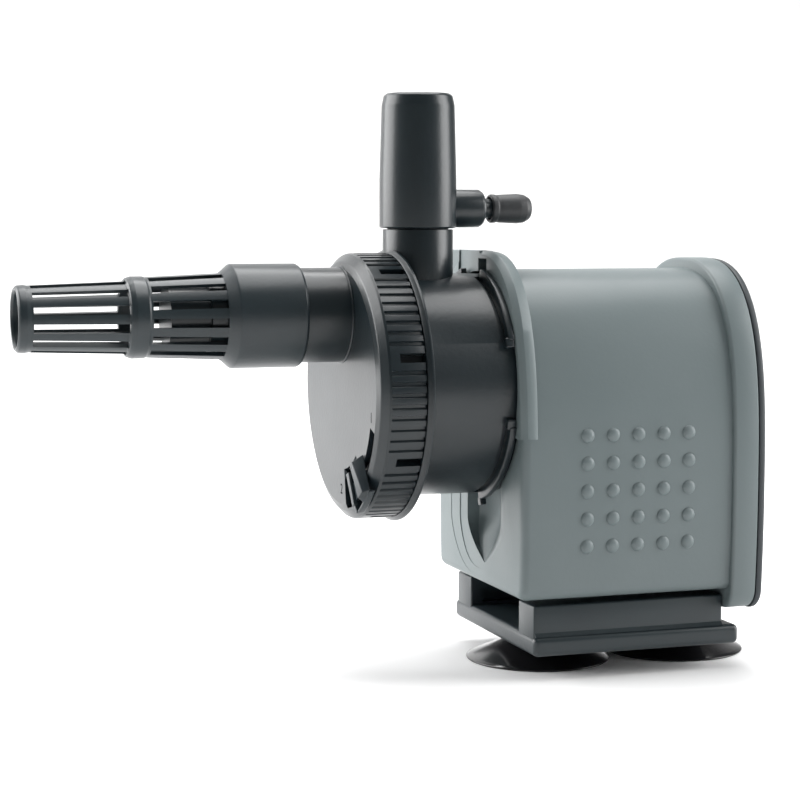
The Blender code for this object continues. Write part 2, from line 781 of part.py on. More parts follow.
def near_window(angle):
    """Whether an angle lies on one of the level patches that carry the windows."""
    pitch = 360.0 / WINDOW_COUNT
    offset = (angle - WINDOW_FIRST + pitch / 2) % pitch - pitch / 2
    return abs(offset) < WINDOW_PATCH_HALF


def window_angles():
    return [WINDOW_FIRST + 360.0 / WINDOW_COUNT * i for i in range(WINDOW_COUNT)]


def window_cutter(angle):
    half = WINDOW_WIDTH / 2
    outline = rectangle(-42.0, -33.0, -half, half)
    tool = extruded("window", [outline], WINDOW_FRONT, KNURL_BACK + 5.0)
    tool.data.transform(Matrix.Rotation(math.radians(-angle), 4, "X"))
    return tool


def make_front_cap():
    profile = [(0, CAP_FACE), (CAP_R - 2.4, CAP_FACE), (CAP_R - 0.9, CAP_FACE + 0.5),
               (CAP_R - 0.1, CAP_FACE + 1.6), (CAP_R + 0.2, KNURL_FRONT + 0.4),
               (KNURL_ROOT_R - 0.3, KNURL_FRONT + 0.5), (KNURL_ROOT_R - 0.3, KNURL_BACK),
               (CAP_BORE_R, KNURL_BACK), (CAP_BORE_R, CAP_FACE + CAP_FACE_THICK),
               (0, CAP_FACE + CAP_FACE_THICK)]
    cap = turned("front_cap", profile)
    outlines = [knurl_outline(), circle(CAP_BORE_R + 0.6, ROUND_STEPS)]
    join(cap, extruded("grip", outlines, KNURL_FRONT, KNURL_BACK - 0.3))
    cut(cap, *[window_cutter(angle) for angle in window_angles()])
    root = CAP_FACE + 1.0
    boss = [(0, root), (BOSS_R, root), (BOSS_R, BOSS_BACK), (0, BOSS_BACK)]
    pipe = [(0, root), (INLET_PIPE_R, root), (INLET_PIPE_R, INLET_TIP), (INLET_SPIGOT_R, INLET_TIP),
            (INLET_SPIGOT_R, INLET_SPIGOT_TIP), (0, INLET_SPIGOT_TIP)]
    join(cap, turned("boss", boss, steps=24), turned("pipe", pipe, (0, 0, INLET_Z), steps=32))
    narrow = INLET_SPIGOT_R - 1.2
    bore = [(0, -30), (INLET_BORE_R, -30), (INLET_BORE_R, INLET_TIP + 2.0), (narrow, INLET_TIP + 2.0),
            (narrow, -95), (0, -95)]
    cut(cap, turned("inlet_bore", bore, (0, 0, INLET_Z), steps=32))
    wide = BOSS_R - 1.5
    deep = CAP_FACE + CAP_FACE_THICK + 1.0
    pocket = [(0, deep), (wide, deep), (wide, BOSS_BACK + 1), (0, BOSS_BACK + 1)]
    cut(cap, turned("pocket", pocket, steps=24))
    slot = ring_arc(SLOT_INNER_R, SLOT_OUTER_R, *SLOT_ARC)
    cut(cap, extruded("lever_slot", [slot], CAP_FACE - 2.0, CAP_FACE + CAP_FACE_THICK + 0.4))
    return finish(cap, "charcoal")


def lever_plate(name, inner, outer, low, high, half_angle):
    outline = ring_arc(inner, outer, LEVER_ANGLE - half_angle, LEVER_ANGLE + half_angle, 3)
    return extruded(name, [outline], low, high)


def make_flow_regulator():
    """A shutter that turns behind the cap's face, with a lever through the slot and over the rim."""
    hub = [circle(SHUTTER_INNER_R + 2.6, SMALL_STEPS), circle(SHUTTER_INNER_R, SMALL_STEPS)]
    regulator = extruded("flow_regulator", hub, SHUTTER_FRONT, SHUTTER_BACK)
    blade = ring_arc(SHUTTER_INNER_R + 1.0, SHUTTER_OUTER_R, *SHUTTER_ARC, steps=10)
    join(regulator, extruded("blade", [blade], SHUTTER_FRONT, SHUTTER_BACK))
    stem = lever_plate("stem", SLOT_INNER_R + 0.9, SLOT_OUTER_R - 0.5, LEVER_FACE + 0.8, SHUTTER_BACK - 0.2,
                       LEVER_HALF_ANGLE * 0.6)
    top = lever_plate("top", SLOT_INNER_R + 0.6, LEVER_R, LEVER_FACE, CAP_FACE - GAP, LEVER_HALF_ANGLE)
    hook = lever_plate("hook", KNURL_R + 0.1, LEVER_R, LEVER_FACE + 0.8, KNURL_FRONT - 0.4,
                       LEVER_HALF_ANGLE * 0.8)
    join(regulator, stem, top, hook)
    return finish(regulator, "charcoal")


# ---------------------------------------------------------------- strainer

def slot_cutters(count, first, width, front, back, reach):
    """Long slots through one tier of the basket, evenly spaced around the inlet's axis."""
    tools = []
    for i in range(count):
        tool = extruded("slot", [rectangle(-reach, -4.0, -width / 2, width / 2)], front, back,
                        (0, 0, INLET_Z))
        tool.data.transform(Matrix.Rotation(-math.radians(first + 360.0 / count * i), 4, "X"))
        tools.append(tool)
    return tools


def make_strainer():
    wall = STRAINER_WALL
    sleeve_r = INLET_PIPE_R + GAP
    profile = [
        (TIER_ONE_TIP_R - 1.4, STRAINER_TIP), (TIER_ONE_TIP_R - 0.5, STRAINER_TIP + 0.6),
        (TIER_ONE_TIP_R - 0.1, STRAINER_TIP + 2.2), (TIER_ONE_END_R, TIER_ONE_END),
        (TIER_TWO_R - 0.5, TIER_ONE_END + 0.6), (TIER_TWO_R, TIER_ONE_END + 2.0),
        (TIER_TWO_R, RING_BACK), (TIER_TWO_END_R, COLLAR_TIP), (STRAINER_COLLAR_R, STRAINER_COLLAR_FRONT),
        (STRAINER_COLLAR_R, STRAINER_COLLAR_BACK - 0.7), (STRAINER_COLLAR_R - 0.5, STRAINER_COLLAR_BACK),
        (sleeve_r, STRAINER_COLLAR_BACK), (sleeve_r, INLET_TIP - GAP),
        (TIER_TWO_END_R - wall, INLET_TIP - GAP), (TIER_TWO_R - wall, RING_BACK),
        (TIER_ONE_END_R - wall, RING_BACK - 1.0), (TIER_ONE_TIP_R - wall, STRAINER_TIP + 3.0),
        (TIER_ONE_TIP_R - wall - 0.4, STRAINER_TIP + 0.8),
    ]
    strainer = turned("strainer_basket", profile, (0, 0, INLET_Z), steps=30)
    cut(strainer, *slot_cutters(12, 15.0, 2.5, STRAINER_TIP + 4.4, TIER_ONE_END + 0.4, 20.0))
    cut(strainer, *slot_cutters(14, 19.4, 2.5, RING_BACK + 0.4, COLLAR_TIP + 0.2, 20.0))
    return finish(strainer, "charcoal")


# ---------------------------------------------------------------- outlet

def make_outlet_coupler():
    origin = (OUTLET_X, 0, 0)
    profile = [(0, COUPLER_BOTTOM), (COUPLER_R - 0.4, COUPLER_BOTTOM), (COUPLER_R, COUPLER_BOTTOM + 0.5),
               (COUPLER_R, STUB_Z + 8.0), (COUPLER_TOP_R, COUPLER_TOP - 2.4),
               (COUPLER_TOP_R - 0.3, COUPLER_TOP - 0.8), (COUPLER_TOP_R - 1.0, COUPLER_TOP), (0, COUPLER_TOP)]
    coupler = turned("outlet_coupler", profile, origin, "Z", 32)
    reach = -OUTLET_X
    stub = turned("stub", [(0, 5.0), (STUB_R, 5.0), (STUB_R, reach + STUB_END - 0.6),
                           (STUB_R - 0.6, reach + STUB_END), (NIPPLE_R, reach + STUB_END + 0.4),
                           (NIPPLE_R, reach + NIPPLE_END), (0, reach + NIPPLE_END)],
                  (OUTLET_X, 0, STUB_Z), "X", 24)
    join(coupler, stub)
    bore = turned("bore", [(0, 30), (COUPLER_SOCKET_R, 30), (COUPLER_SOCKET_R, COUPLER_STOP),
                           (NECK_BORE_R, COUPLER_STOP), (NECK_BORE_R, COUPLER_STOP + 1.5),
                           (COUPLER_BORE_R, COUPLER_STOP + 3.0), (COUPLER_BORE_R, 95), (0, 95)],
                  origin, "Z", 32)
    air = turned("air", [(0, 0), (AIR_BORE_R, 0), (AIR_BORE_R, 60), (0, 60)],
                 (OUTLET_X, 0, STUB_Z), "X", 12)
    return finish(cut(coupler, bore, air), "charcoal")


def make_air_valve_cap():
    """A rubber cap pushed on the air nipple, with a domed end."""
    bore = NIPPLE_R + GAP
    profile = [(bore, AIR_CAP_FRONT), (AIR_CAP_R - 0.3, AIR_CAP_FRONT), (AIR_CAP_R, AIR_CAP_FRONT + 0.5),
               (AIR_CAP_R, AIR_CAP_END - 4.0), (AIR_CAP_R - 0.7, AIR_CAP_END - 1.6),
               (AIR_CAP_R - 2.2, AIR_CAP_END - 0.3), (0, AIR_CAP_END), (0, NIPPLE_END + GAP),
               (bore, NIPPLE_END + GAP)]
    return finish(turned("air_valve_cap", profile, (0, 0, STUB_Z), steps=24), "rubber")


# ---------------------------------------------------------------- base

def make_base_plate():
    base = bevelled(block("base_plate", (BASE_FRONT, -BASE_HALF, BASE_BOTTOM),
                          (BASE_BACK, BASE_HALF, BASE_TOP)), 1.0, 2)
    for side in (-1, 1):
        y0, y1 = sorted((side * RAIL_INNER, side * RAIL_HALF))
        join(base, block("rail", (BASE_FRONT + 0.3, y0, BASE_TOP - 1.0), (RAIL_BACK, y1, RAIL_TOP)))
        y0, y1 = sorted((side * (RAIL_INNER - 2.0), side * (RAIL_INNER + GROOVE_DEPTH)))
        cut(base, block("groove", (GROOVE_FRONT, y0, GROOVE_LOW), (RAIL_BACK + 5, y1, GROOVE_HIGH)))
    for x in CUP_XS.values():
        cut(base, turned("hole", [(0, -90), (CUP_HOLE_R, -90), (CUP_HOLE_R, -60), (0, -60)],
                         (x, 0, 0), "Z", 24))
    rear = CUP_XS["suction_cup_rear"]
    mouth = (rear, -CUP_HOLE_R + 0.6, BASE_BOTTOM - 2), (BASE_BACK + 5, CUP_HOLE_R - 0.6, BASE_TOP + 2)
    cut(base, block("mouth", *mouth))
    return finish(base, "charcoal", smooth=False)


def make_suction_cup(name, x):
    """A wide thin cup with a stem through the base and a button that holds it."""
    under = BASE_BOTTOM - GAP
    profile = [
        (0, BASE_TOP + 2.6), (4.6, BASE_TOP + 2.6), (5.6, BASE_TOP + 1.4), (5.6, BASE_TOP + GAP),
        (CUP_STEM_R, BASE_TOP + GAP), (CUP_STEM_R, under), (7.6, under - 0.2),
        (15.0, under - 3.6), (CUP_R, CUP_FLOOR + 0.6), (CUP_R - 0.3, CUP_FLOOR),
        (CUP_R - CUP_RIM, CUP_FLOOR), (14.0, under - 4.9), (6.0, under - 2.6), (0, under - 2.2),
    ]
    return finish(turned(name, profile, (x, 0, 0), "Z", SMALL_STEPS + 4), "rubber")


# ---------------------------------------------------------------- the whole pump

def build():
    make_motor_housing()
    make_rear_cover()
    make_rear_gasket()
    make_potting_resin()
    make_cord_gland()
    make_stator_core()
    for side, word in ((-1, "near"), (1, "far")):
        make_bobbin_and_coil(side, word)
    make_rotor_magnet()
    make_impeller()
    make_rotor_shaft()
    make_shaft_seats()
    make_pump_chamber()
    o_ring("chamber_o_ring", 23.2, 1.0, CHAMBER_BACK - 0.65)
    o_ring("cap_o_ring", SPIGOT_R - 0.55, 0.85, RIM_FRONT - 5.1)
    make_front_cap()
    make_flow_regulator()
    make_strainer()
    make_outlet_coupler()
    make_air_valve_cap()
    make_base_plate()
    for name, x in CUP_XS.items():
        make_suction_cup(name, x)


build()
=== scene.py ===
"""Looks of the submersible aquarium pump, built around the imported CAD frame.

Lengths are millimetres until a piece is finished, which scales it to metres and moves it to the
frame. The drawing's origin is where the pump's axis meets the housing's front plane: -X is
towards the strainer, -Y is the near side and +Z is up.
"""

import math

import bmesh
import bpy
from mathutils import Matrix, Vector


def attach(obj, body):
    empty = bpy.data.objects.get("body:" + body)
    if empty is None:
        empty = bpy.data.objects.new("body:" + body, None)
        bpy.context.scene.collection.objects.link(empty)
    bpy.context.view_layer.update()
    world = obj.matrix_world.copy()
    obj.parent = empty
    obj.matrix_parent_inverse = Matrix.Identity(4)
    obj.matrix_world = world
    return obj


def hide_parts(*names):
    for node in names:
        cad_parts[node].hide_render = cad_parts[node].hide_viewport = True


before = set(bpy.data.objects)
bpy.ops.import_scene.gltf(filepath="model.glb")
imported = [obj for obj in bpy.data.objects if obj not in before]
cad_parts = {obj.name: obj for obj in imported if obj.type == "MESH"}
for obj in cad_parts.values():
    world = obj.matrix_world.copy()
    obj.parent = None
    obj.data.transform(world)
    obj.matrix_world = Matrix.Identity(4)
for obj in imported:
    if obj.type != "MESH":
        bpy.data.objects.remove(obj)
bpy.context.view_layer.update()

MM = 0.001
AXIS = (25.5, 0.0, 84.3)


# ---------------------------------------------------------------- mesh tools

def link(name, mesh):
    obj = bpy.data.objects.new(name, mesh)
    bpy.context.scene.collection.objects.link(obj)
    return obj


def mesh_from(name, verts, faces):
    mesh = bpy.data.meshes.new(name)
    shape = bmesh.new()
    points = [shape.verts.new(v) for v in verts]
    for face in faces:
        shape.faces.new([points[i] for i in face])
    bmesh.ops.remove_doubles(shape, verts=shape.verts, dist=0.0005)
    bmesh.ops.recalc_face_normals(shape, faces=shape.faces)
    shape.to_mesh(mesh)
    shape.free()
    return link(name, mesh)


def rounded(points, radii, segments=3, closed=True):
    """A 2D outline with its corners replaced by arcs; radii is one number or one for each corner."""
    count = len(points)
    if not hasattr(radii, "__len__"):
        radii = [radii] * count
    result = []
    for i, point in enumerate(points):
        radius = radii[i]
        if radius <= 0 or (not closed and i in (0, count - 1)):
            result.append(tuple(point))
            continue
        here = Vector(point)
        back = Vector(points[i - 1]) - here
        ahead = Vector(points[(i + 1) % count]) - here
        turn = back.angle(ahead)
        if turn > math.radians(176):
            result.append(tuple(point))
            continue
        reach = min(radius / math.tan(turn / 2), back.length * 0.48, ahead.length * 0.48)
        start = here + back.normalized() * reach
        end = here + ahead.normalized() * reach
        for k in range(segments + 1):
            t = k / segments
            result.append(tuple((1 - t) ** 2 * start + 2 * t * (1 - t) * here + t ** 2 * end))
    return result


def ring_faces(rings, size, closed_ring=True, closed_path=False):
    faces = []
    last = rings if closed_path else rings - 1
    around = size if closed_ring else size - 1
    for i in range(last):
        for j in range(around):
            a = i * size + j
            b = i * size + (j + 1) % size
            c = ((i + 1) % rings) * size + (j + 1) % size
            d = ((i + 1) % rings) * size + j
            faces.append((a, b, c, d))
    return faces


def lathe(name, profile, origin=(0, 0, 0), axis="X", steps=96, closed=True):
    """A (radius, height) profile turned about an axis through the origin."""
    verts = []
    for radius, height in profile:
        for k in range(steps):
            angle = 2 * math.pi * k / steps
            u = radius * math.cos(angle)
            v = radius * math.sin(angle)
            point = (height, u, v) if axis == "X" else (u, v, height)
            verts.append(Vector(point) + Vector(origin))
    faces = ring_faces(len(profile), steps, closed_path=closed)
    obj = mesh_from(name, verts, faces)
    return clean(obj)


def clean(obj):
    shape = bmesh.new()
    shape.from_mesh(obj.data)
    bmesh.ops.dissolve_degenerate(shape, dist=0.0005, edges=shape.edges)
    loose = [edge for edge in shape.edges if not edge.link_faces]
    bmesh.ops.delete(shape, geom=loose, context="EDGES")
    bmesh.ops.recalc_face_normals(shape, faces=shape.faces)
    shape.to_mesh(obj.data)
    shape.free()
    return obj


def loft(name, rings):
    """Closed rings of equal size joined in order, with a flat face at each end."""
    size = len(rings[0])
    verts = [p for ring in rings for p in ring]
    faces = ring_faces(len(rings), size)
    faces.append(tuple(range(size)))
    faces.append(tuple(range(len(verts) - size, len(verts))))
    return mesh_from(name, verts, faces)


def prism(name, outline, low, high, axis="X", origin=(0, 0, 0)):
    def point(u, v, w):
        local = {"X": (w, u, v), "Y": (u, w, v), "Z": (u, v, w)}[axis]
        return Vector(local) + Vector(origin)
    return loft(name, [[point(u, v, w) for u, v in outline] for w in (low, high)])


def block(name, low, high):
    (x0, y0, z0), (x1, y1, z1) = low, high
    return prism(name, [(y0, z0), (y1, z0), (y1, z1), (y0, z1)], x0, x1)


def bake(obj):
    bpy.context.view_layer.update()
    graph = bpy.context.evaluated_depsgraph_get()
    mesh = bpy.data.meshes.new_from_object(obj.evaluated_get(graph))
    obj.modifiers.clear()
    obj.data = mesh
    return obj


def bevel(obj, width, segments=3, angle=35.0):
    modifier = obj.modifiers.new("bevel", "BEVEL")
    modifier.width = width
    modifier.segments = segments
    modifier.limit_method = "ANGLE"
    modifier.angle_limit = math.radians(angle)
    modifier.use_clamp_overlap = True
    return bake(obj)


def is_closed(mesh):
    shape = bmesh.new()
    shape.from_mesh(mesh)
    loose = [edge for edge in shape.edges if not edge.link_faces]
    bmesh.ops.delete(shape, geom=loose, context="EDGES")
    closed = all(len(edge.link_faces) == 2 for edge in shape.edges)
    shape.to_mesh(mesh)
    shape.free()
    return closed


def boolean(obj, tools, operation):
    for tool in tools:
        for solver in ("EXACT", "MANIFOLD"):
            modifier = obj.modifiers.new("boolean", "BOOLEAN")
            modifier.solver = solver
            modifier.operation = operation
            modifier.object = tool
            bpy.context.view_layer.update()
            graph = bpy.context.evaluated_depsgraph_get()
            mesh = bpy.data.meshes.new_from_object(obj.evaluated_get(graph))
            obj.modifiers.clear()
            if is_closed(mesh):
                break
        obj.data = mesh
        bpy.data.objects.remove(tool, do_unlink=True)
    return obj


def cut(obj, *tools):
    return boolean(obj, tools, "DIFFERENCE")


def weld(obj, *tools):
    return boolean(obj, tools, "UNION")


def gather(obj, *others):
    """Put other shapes into one object's mesh without merging them."""
    shape = bmesh.new()
    for piece in (obj, *others):
        shape.from_mesh(piece.data)
    shape.to_mesh(obj.data)
    shape.free()
    for piece in others:
        bpy.data.objects.remove(piece, do_unlink=True)
    return obj


def done(obj, material, body, nodes=(), angle=32.0):
    """Scale a finished shape to metres, give it its material and fix it to its body."""
    obj.data.transform(Matrix.Scale(MM, 4) @ Matrix.Translation(AXIS))
    obj.data.materials.clear()
    obj.data.materials.append(material)
    obj.data.shade_smooth()
    obj.data.set_sharp_from_angle(angle=math.radians(angle))
    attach(obj, body)
    if nodes:
        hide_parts(*nodes)
    return obj


def circle(radius, count=96, centre=(0.0, 0.0)):
    angles = [2 * math.pi * i / count for i in range(count)]
    return [(centre[0] + radius * math.cos(a), centre[1] + radius * math.sin(a)) for a in angles]


def arc_band(inner, outer, start, end, steps=32):
    """An arc band about the pump's axis; 0 degrees is the near side and 90 is up."""
    angles = [math.radians(start + (end - start) * i / steps) for i in range(steps + 1)]
    near = [(-outer * math.cos(a), outer * math.sin(a)) for a in angles]
    return near + [(-inner * math.cos(a), inner * math.sin(a)) for a in reversed(angles)]


# ---------------------------------------------------------------- materials

def plastic(name, dark, light, rough, grain=0.10, grain_scale=900.0, sheen_rough=0.06, wear=0.0):
    """Moulded plastic: slow changes of tone and gloss, and a fine eroded grain."""
    material = bpy.data.materials.new(name)
    material.use_nodes = True
    tree = material.node_tree
    shader = tree.nodes["Principled BSDF"]
    place = tree.nodes.new("ShaderNodeTexCoord")
    cloud = tree.nodes.new("ShaderNodeTexNoise")
    cloud.inputs["Scale"].default_value = 22.0
    cloud.inputs["Detail"].default_value = 4.0
    cloud.inputs["Roughness"].default_value = 0.55
    tree.links.new(place.outputs["Object"], cloud.inputs["Vector"])
    tone = tree.nodes.new("ShaderNodeValToRGB")
    tone.color_ramp.elements[0].position = 0.35
    tone.color_ramp.elements[0].color = (*dark, 1.0)
    tone.color_ramp.elements[1].position = 0.68
    tone.color_ramp.elements[1].color = (*light, 1.0)
    tree.links.new(cloud.outputs["Fac"], tone.inputs["Fac"])
    tree.links.new(tone.outputs["Color"], shader.inputs["Base Color"])

    smudge = tree.nodes.new("ShaderNodeTexNoise")
    smudge.inputs["Scale"].default_value = 60.0
    smudge.inputs["Detail"].default_value = 5.0
    tree.links.new(place.outputs["Object"], smudge.inputs["Vector"])
    gloss = tree.nodes.new("ShaderNodeMapRange")
    gloss.inputs["From Min"].default_value = 0.3
    gloss.inputs["From Max"].default_value = 0.7
    gloss.inputs["To Min"].default_value = rough - sheen_rough
    gloss.inputs["To Max"].default_value = rough + sheen_rough
    tree.links.new(smudge.outputs["Fac"], gloss.inputs["Value"])
    tree.links.new(gloss.outputs["Result"], shader.inputs["Roughness"])

    fine = tree.nodes.new("ShaderNodeTexNoise")
    fine.inputs["Scale"].default_value = grain_scale
    fine.inputs["Detail"].default_value = 3.0
    tree.links.new(place.outputs["Object"], fine.inputs["Vector"])
    bump = tree.nodes.new("ShaderNodeBump")
    bump.inputs["Strength"].default_value = grain
    bump.inputs["Distance"].default_value = 0.0002
    tree.links.new(fine.outputs["Fac"], bump.inputs["Height"])
    tree.links.new(bump.outputs["Normal"], shader.inputs["Normal"])
    return material


def metal(name, dark, light, rough):
    material = plastic(name, dark, light, rough, grain=0.06, grain_scale=600.0)
    material.node_tree.nodes["Principled BSDF"].inputs["Metallic"].default_value = 0.95
    return material


GREY = plastic("grey_satin", (0.120, 0.150, 0.154), (0.130, 0.160, 0.164), 0.42, grain=0.12, sheen_rough=0.03)
CHARCOAL = plastic("charcoal_satin", (0.007, 0.012, 0.015), (0.010, 0.016, 0.019), 0.31, grain=0.14, sheen_rough=0.015)
SLATE = plastic("slate_satin", (0.012, 0.019, 0.023), (0.016, 0.025, 0.029), 0.35, grain=0.14, sheen_rough=0.015)
COVER = plastic("cover_dark", (0.022, 0.028, 0.033), (0.028, 0.035, 0.040), 0.55, grain=0.12)
RUBBER = plastic("rubber_satin", (0.016, 0.018, 0.020), (0.024, 0.026, 0.028), 0.50, grain=0.18)
CUP = plastic("cup_gloss", (0.006, 0.006, 0.007), (0.010, 0.010, 0.011), 0.16, grain=0.05, sheen_rough=0.04)
MARK = plastic("mark_matt", (0.004, 0.005, 0.006), (0.006, 0.007, 0.008), 0.90, grain=0.05)
MARK.node_tree.nodes["Principled BSDF"].inputs["Specular IOR Level"].default_value = 0.03
RESIN = plastic("resin_black", (0.010, 0.010, 0.011), (0.020, 0.020, 0.021), 0.35)
NYLON = plastic("nylon_natural", (0.62, 0.60, 0.52), (0.72, 0.70, 0.62), 0.45)
WHITE = plastic("white_moulded", (0.66, 0.66, 0.64), (0.76, 0.76, 0.74), 0.35)
CERAMIC = plastic("ceramic_polished", (0.74, 0.73, 0.70), (0.82, 0.81, 0.78), 0.15, grain=0.02)
STEEL = metal("laminated_steel", (0.30, 0.30, 0.31), (0.42, 0.42, 0.43), 0.40)
COPPER = metal("copper_winding", (0.46, 0.19, 0.10), (0.62, 0.29, 0.15), 0.35)
FERRITE = metal("ferrite", (0.05, 0.05, 0.05), (0.08, 0.08, 0.08), 0.55)

for node, material in {
    "rear_gasket": RUBBER, "potting_resin": RESIN, "stator_core": STEEL, "bobbin_near": NYLON,
    "bobbin_far": NYLON, "coil_near": COPPER, "coil_far": COPPER, "rotor_magnet": FERRITE,
    "impeller": WHITE, "rotor_shaft": CERAMIC, "rear_shaft_seat": RUBBER, "front_shaft_seat": RUBBER,
    "chamber_o_ring": RUBBER, "cap_o_ring": RUBBER,
}.items():
    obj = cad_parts[node]
    obj.data.materials.clear()
    obj.data.materials.append(material)


# ---------------------------------------------------------------- housing

HOUSING = {"half": 35.7, "top": 33.75, "bottom": -60.3, "corner": 3.2}
FLANGE = {"half": 37.1, "top": 37.0, "bottom": -66.4, "corner": 6.5}
COLLAR = {"half": 37.0, "top": 39.5, "bottom": -60.3, "corner": 3.0}
COLLAR_END = -13.4
WIDEST = -31.0
TUCK = 0.9


def arch(half, top, bottom, corner, inset=0.0, steps=40):
    half -= inset
    bottom += inset
    corner = max(corner - inset, 0.6)
    rise = top - inset - WIDEST
    drop = WIDEST - (bottom + corner)
    side = []
    for i in range(steps + 1):
        swing = math.radians(90.0 * i / steps)
        side.append((half * math.sin(swing) ** (2 / 2.55), WIDEST + rise * math.cos(swing) ** (2 / 3.2)))
    for i in range(1, 9):
        share = i / 8
        side.append((half - TUCK * share ** 2, WIDEST - drop * share))
    centre = half - TUCK - corner
    for i in range(1, 8):
        swing = math.radians(90.0 * i / 7)
        side.append((centre + corner * math.cos(swing), bottom + corner - corner * math.sin(swing)))
    for i in range(1, 7):
        side.append((centre * (1 - i / 7), bottom))
    return side + [(-y, z) for y, z in reversed(side[1:])]


def arch_rings(spec, stations):
    return [[(x, y, z) for y, z in arch(inset=inset, **spec)] for x, inset in stations]


def round_over(start, direction, radius, steps=5):
    """Stations that round an end: from the flat face at start out to the full outline."""
    stations = []
    for i in range(steps + 1):
        swing = math.radians(90.0 * i / steps)
        stations.append((start + direction * radius * (1 - math.cos(swing)), radius * (1 - math.sin(swing))))
    return stations


def flank_half(z):
    if z >= WIDEST:
        share = (z - WIDEST) / (HOUSING["top"] - WIDEST)
        return HOUSING["half"] * (1 - share ** 3.2) ** (1 / 2.55)
    share = (WIDEST - z) / (WIDEST - HOUSING["bottom"] - HOUSING["corner"])
    return HOUSING["half"] - TUCK * share ** 2


def shield(half, shoulder_z, tip_z, deep, high=-20.0):
    """A shallow shield-shaped step in the housing's front, deepest along its far edge."""
    side = [(half, high), (half, shoulder_z)]
    for i in range(1, 13):
        swing = math.radians(90.0 * i / 12)
        side.append((half * math.cos(swing) ** 0.85, shoulder_z + (tip_z - shoulder_z) * math.sin(swing) ** 1.35))
    outline = side + [(-y, z) for y, z in reversed(side[:-1])]

    def depth(y):
        return deep * (y - SHIELD_FADE) / (half - SHIELD_FADE)
    return loft("shield", [[(-4.0, y, z) for y, z in outline], [(depth(y), y, z) for y, z in outline]])


SHIELD_FADE = -4.0
SCOOP = {"middle": -5.4, "half": 15.2, "top": -22.0, "tip": -53.4, "deep": 6.8, "shoulder": 0.6}


def scoop_profile(across):
    """Share of the full depth: a wall, a rounded foot, then a slow rise."""
    if across < 0.35:
        return 0.6 + 0.4 * math.sqrt(1 - (1 - across / 0.35) ** 2)
    return 0.5 + 0.5 * math.cos(math.pi * (across - 0.35) / 0.65)


def scoop():
    """The pointed hollow: a sharp wall on its far edge and a long smooth rise to the near one."""
    rows, columns = 30, 26
    verts = []
    for i in range(rows + 1):
        share = i / rows
        z = SCOOP["top"] + (SCOOP["tip"] - SCOOP["top"]) * share
        taper = max(0.0, (share - SCOOP["shoulder"]) / (1 - SCOOP["shoulder"]))
        width = SCOOP["half"] * max(1 - taper ** 1.9, 0.012)
        depth = SCOOP["deep"] * max(1 - taper ** 1.3, 0.01)
        for j in range(columns + 1):
            across = j / columns
            y = SCOOP["middle"] + width * (1 - 2 * across)
            verts.append((depth * scoop_profile(across), y, z))
    front = len(verts)
    verts += [(-3.0, y, z) for _, y, z in verts]
    faces = []
    size = columns + 1
    for i in range(rows):
        for j in range(columns):
            a, b, c, d = i * size + j, i * size + j + 1, (i + 1) * size + j + 1, (i + 1) * size + j
            faces.append((a, b, c, d))
            faces.append((front + d, front + c, front + b, front + a))
    edge = list(range(size)) + [i * size + columns for i in range(1, rows + 1)]
    edge += [rows * size + j for j in range(columns - 1, -1, -1)] + [i * size for i in range(rows - 1, 0, -1)]
    for a, b in zip(edge, edge[1:] + edge[:1]):
        faces.append((b, a, front + a, front + b))
    return mesh_from("scoop", verts, faces)


def make_collar():
    """The raised band around the front: it rises a little backwards and is square on its far side."""
    full = arch(**COLLAR)
    middle = len(full) // 2
    order = [i for i in range(-middle, middle + 1) if full[i][1] > COLLAR_END]
    stations = [(-1.1, 1.5), (-0.95, 1.15), (0.65, 0.1), (0.95, 0.0), (3.8, 0.42), (4.0, 0.5), (4.12, 0.8)]
    rings = []
    for x, inset in stations:
        outline = arch(inset=inset, **COLLAR)
        ring = [(x, *outline[i]) for i in order]
        ring += [(x, COLLAR["half"] - inset, COLLAR_END), (x, inset - COLLAR["half"], COLLAR_END)]
        rings.append(ring)
    collar = loft("collar", rings)
    weld(collar, bevel(block("square_top", (-0.9, -1.6, 28.0), (4.0, 23.5, 39.3)), 0.5, 3))
    cut(collar, lathe("opening", [(0, -10), (33.3, -10), (33.3, 10), (0, 10)], steps=128))
    cut(collar, block("notch", (-2, -8.4, 30.0), (3.6, -1.7, 37.1)))
    cut(collar, block("step_middle", (-2, -1.6, 20.0), (-0.7, 6.1, 45.0)))
    return cut(collar, block("step_far", (-2, 6.1, 20.0), (-0.45, 15.1, 45.0)))


def make_housing():
    stations = round_over(0.0, 1, 2.4) + [(34.0, 0.0), (67.0, 0.0)]
    body = loft("housing_shell", arch_rings(HOUSING, stations))
    cut(body, shield(23.6, -42.5, -58.6, 0.12))
    cut(body, shield(16.2, -42.0, -55.8, 0.32))
    cut(body, scoop())
    cut(body, lathe("seat", [(0, -10), (33.3, -10), (33.3, 3.0), (0, 3.0)], steps=128, closed=True))
    stations = round_over(66.0, 1, 0.9, 4) + [(70.0, 0.0)] + round_over(74.0, -1, 0.6, 3)[::-1]
    flange = loft("flange", arch_rings(FLANGE, stations))
    gather(body, make_collar(), flange)
    for side in (-1, 1):
        outline = [(side * 14.0, -59.8), (side * 14.0, -70.0), (side * 22.4, -70.0), (side * 22.4, -66.7),
                   (side * 19.4, -66.7), (side * 19.4, -59.8)]
        gather(body, bevel(prism("foot", outline, 24.0, 63.0), 0.4, 2))
        for row in range(5):
            for column in range(5):
                gather(body, dot(side, 19.8 + 8.0 * column, -13.0 - 8.0 * row))
    return done(body, GREY, "motor", ["motor_housing"], 28.0)


